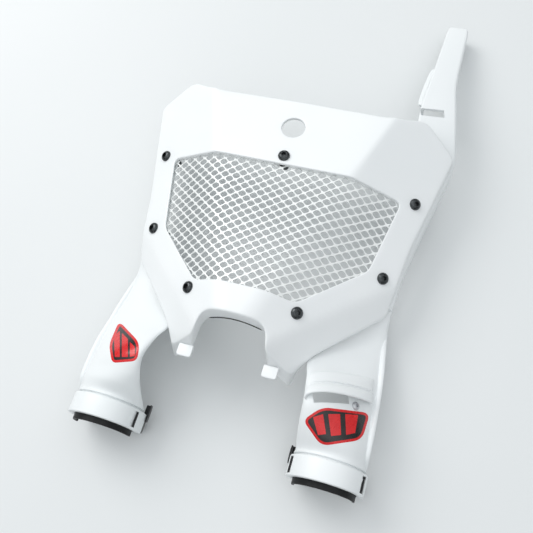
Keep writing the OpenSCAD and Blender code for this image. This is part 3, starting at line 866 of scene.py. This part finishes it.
def patch(name, outline, under, lift, material, cell=1.3):
    """A flat shape in the photograph's frame, cut into small cells and laid on what is under it"""
    mesh = under.data
    tree = BVHTree.FromPolygons([v.co for v in mesh.vertices],
                                [tuple(q.vertices) for q in mesh.polygons])
    bm = bmesh.new()
    bm.faces.new([bm.verts.new((x, y, 0)) for x, y in outline])
    for axis in (0, 1):
        low, high = min(q[axis] for q in outline), max(q[axis] for q in outline)
        n = max(int((high - low) / cell), 1)
        for k in range(1, n):
            co, no = [0, 0, 0], [0, 0, 0]
            co[axis], no[axis] = low + (high - low) * k / n, 1
            everything = bm.verts[:] + bm.edges[:] + bm.faces[:]
            bmesh.ops.bisect_plane(bm, geom=everything, plane_co=co, plane_no=no)
    for v in bm.verts:
        ray = RIGHT * (v.co.x - MIDDLE) - UP * (v.co.y - MIDDLE) + AHEAD * FOCAL
        hit, normal, _, _ = tree.ray_cast(EYE, ray.normalized())
        v.co = hit + (normal if normal.dot(ray) < 0 else -normal) * lift * MM
    bmesh.ops.triangulate(bm, faces=bm.faces[:])
    done = bpy.data.meshes.new(name)
    bm.to_mesh(done)
    bm.free()
    done.materials.append(material)
    done.polygons.foreach_set("use_smooth", [True] * len(done.polygons))
    obj = bpy.data.objects.new(name, done)
    bpy.context.scene.collection.objects.link(obj)
    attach(obj, "root")


def badge(name, under, corners, turns, bars):
    """Three plain bars on a dark field with a bright edge; corners and bars are in pixels"""
    outline = dense([np.array(q) for q in rounded(corners, turns, 8)], 1.0)
    patch(name + "_edge", outline, under, EDGE_LIFT, INK_RED)
    inner = np.array(outline) + inward(outline) * BADGE_EDGE
    patch(name + "_field", [tuple(q) for q in inner], under, FIELD_LIFT, INK_BLACK)
    for k, bar in enumerate(bars):
        patch(name + "_bar%d" % k, rounded(bar, [0.6] * 4, 3), under, BAR_LIFT, INK_RED)


badge("right_badge", right_moulding,
      [(303, 420), (321, 446), (362, 440), (370, 413), (322, 407)], [7, 9, 9, 8, 9],
      [[(313, 417), (318, 435), (326, 434), (323, 414)], [(328, 414), (331, 436), (341, 435), (340, 414)],
       [(345, 414), (346, 435), (355, 433), (358, 415)]])
badge("left_badge", left_moulding,
      [(109, 345), (112, 363), (137, 361), (140, 343), (119, 321)], [6, 5, 6, 8, 7],
      [[(114, 336), (115, 357), (120, 357), (120, 331)], [(122, 333), (122, 357), (128, 357), (128, 339)],
       [(130, 342), (130, 357), (135, 356), (135, 347)]])

# Floor, backdrop and lights. The sky lights the part by its height above the horizon, and the
# camera sees an even backdrop in its place
WORLD_LOW, WORLD_HIGH, WORLD_TOP, BACKDROP = 0.02, 1.14, 0.9, 0.78
KEY_POWER, FILL_POWER = 12.6, 0.6
FLOOR_LOW, FLOOR_HIGH, FLOOR_HALF = rgb(0.73, 0.75, 0.752), rgb(0.755, 0.77, 0.772), 4
floor_mat = Mat("floor_paper")
floor_mat.set(Base_Color=floor_mat.mottled(2.0, 2.0, FLOOR_LOW, FLOOR_HIGH))
floor_mat.set(Roughness=0.65)
corners = [(FLOOR_HALF * x, FLOOR_HALF * y, 0) for x, y in ((-1, -1), (1, -1), (1, 1), (-1, 1))]
floor = add("floor", corners, [(0, 1, 2, 3)], floor_mat.mat)

world = bpy.data.worlds.new("studio")
bpy.context.scene.world = world
world.use_nodes = True
sky = world.node_tree
where = sky.nodes.new("ShaderNodeTexCoord")
split = sky.nodes.new("ShaderNodeSeparateXYZ")
height = sky.nodes.new("ShaderNodeMapRange")
sky.links.new(where.outputs["Generated"], split.inputs[0])
sky.links.new(split.outputs["Z"], height.inputs["Value"])
height.inputs["From Min"].default_value = 0.0
height.inputs["From Max"].default_value = WORLD_TOP
height.inputs["To Min"].default_value = WORLD_LOW
height.inputs["To Max"].default_value = WORLD_HIGH
seen = sky.nodes.new("ShaderNodeMix")
sky.links.new(sky.nodes.new("ShaderNodeLightPath").outputs["Is Camera Ray"], seen.inputs["Factor"])
sky.links.new(height.outputs["Result"], seen.inputs["A"])
seen.inputs["B"].default_value = BACKDROP
sky.links.new(seen.outputs["Result"], sky.nodes["Background"].inputs["Strength"])
sky.nodes["Background"].inputs["Color"].default_value = rgb(0.94, 0.975, 1.0)


def lamp(name, at, size, power, colour):
    """A square area light, aimed at the part"""
    data = bpy.data.lights.new(name, "AREA")
    data.shape = "SQUARE"
    data.size, data.energy, data.color = size, power, colour
    obj = bpy.data.objects.new(name, data)
    obj.location = at
    obj.rotation_euler = (LAMP_AIM - Vector(at)).to_track_quat("-Z", "Y").to_euler()
    bpy.context.scene.collection.objects.link(obj)


LAMP_AIM = Vector((0, 0, 0.05))
lamp("key", (-1.05, 0.55, 1.25), 1.1, KEY_POWER, (1.0, 0.99, 0.975))
lamp("fill", (0.2, -1.2, 1.8), 1.5, FILL_POWER, (0.95, 0.98, 1.0))

bpy.context.scene.view_settings.view_transform = "Standard"
